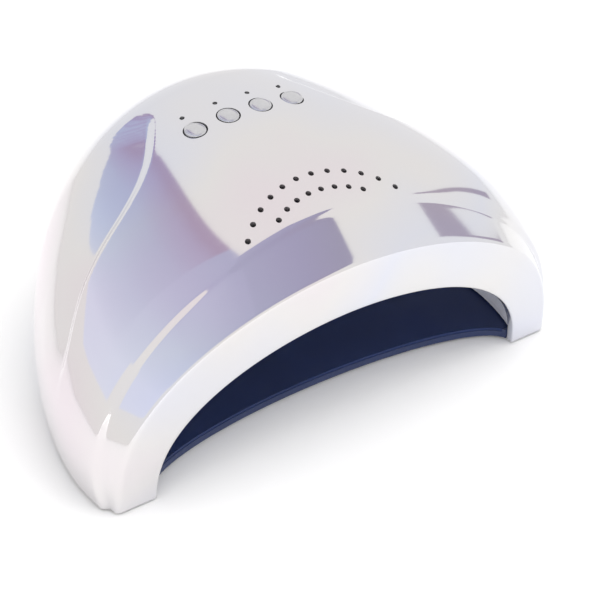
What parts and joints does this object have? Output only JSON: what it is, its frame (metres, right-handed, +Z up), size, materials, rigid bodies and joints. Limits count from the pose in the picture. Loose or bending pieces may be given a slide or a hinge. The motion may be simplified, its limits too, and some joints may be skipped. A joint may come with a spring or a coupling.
{
  "type": "uv curing lamp",
  "caption": "Domed LED nail curing lamp with an arched hand opening, push buttons, vent arcs and side grips, standing over a removable mirror base tray.",
  "frame": {"origin": "middle of the footprint, on the table under the rubber feet", "axes": "+Z up; the hand enters from -Y and the power socket faces +Y; +X is to the right seen from the hand opening"},
  "size_m": [0.2008, 0.1491, 0.0994],
  "materials": {
    "shell": "pearl white gloss with a faint pink, violet and blue shift",
    "reflector": "white satin",
    "mirror": "dark blue glossy face",
    "tray": "dark blue satin",
    "rubber": "matt",
    "led": "clear epoxy",
    "board": "white solder mask",
    "chip": "moulded epoxy",
    "button": "satin silver plating",
    "screw": "zinc plated",
    "sensor": "dark infrared window",
    "socket": "black moulded",
    "pin": "plated",
    "wire": "insulated wire",
    "magnet": "nickel plated"
  },
  "bodies": {
    "tray": {"base_tray": "tray", "mirror_plate": "mirror", "rubber_feet": "rubber", "tray_magnets": "magnet"},
    "lamp": {"control_board": "board", "control_board_screws": "screw", "control_chip": "chip", "hand_sensor": "sensor", "indicator_lights": "led", "inner_reflector": "reflector", "lamp_magnets": "magnet", "led_board_left": "board", "led_board_right": "board", "led_board_screws": "screw", "led_board_top": "board", "leds": "led", "outer_shell": "shell", "power_socket": "socket", "reflector_screws": "screw", "socket_nut": "screw", "socket_pin": "pin", "tact_switches": "chip", "wire_harness": "wire"},
    "button_power_body": {"button_power": "button"},
    "button_short_body": {"button_short": "button"},
    "button_medium_body": {"button_medium": "button"},
    "button_long_body": {"button_long": "button"}
  },
  "joints": [
    {"name": "lamp_lift", "type": "slide", "parent": "tray", "child": "lamp", "axis": [0, 0, 1], "range_m": [0, 0.08]},
    {"name": "button_power_press", "type": "slide", "parent": "lamp", "child": "button_power_body", "axis": [0, 0.1285, -0.9917], "range_m": [0, 0.0006], "stiffness_N_per_m": 1500, "springref_m": -0.0003},
    {"name": "button_short_press", "type": "slide", "parent": "lamp", "child": "button_short_body", "axis": [0, 0.1285, -0.9917], "range_m": [0, 0.0006], "stiffness_N_per_m": 1500, "springref_m": -0.0003},
    {"name": "button_medium_press", "type": "slide", "parent": "lamp", "child": "button_medium_body", "axis": [0, 0.1285, -0.9917], "range_m": [0, 0.0006], "stiffness_N_per_m": 1500, "springref_m": -0.0003},
    {"name": "button_long_press", "type": "slide", "parent": "lamp", "child": "button_long_body", "axis": [0, 0.1285, -0.9917], "range_m": [0, 0.0006], "stiffness_N_per_m": 1500, "springref_m": -0.0003}
  ]
}
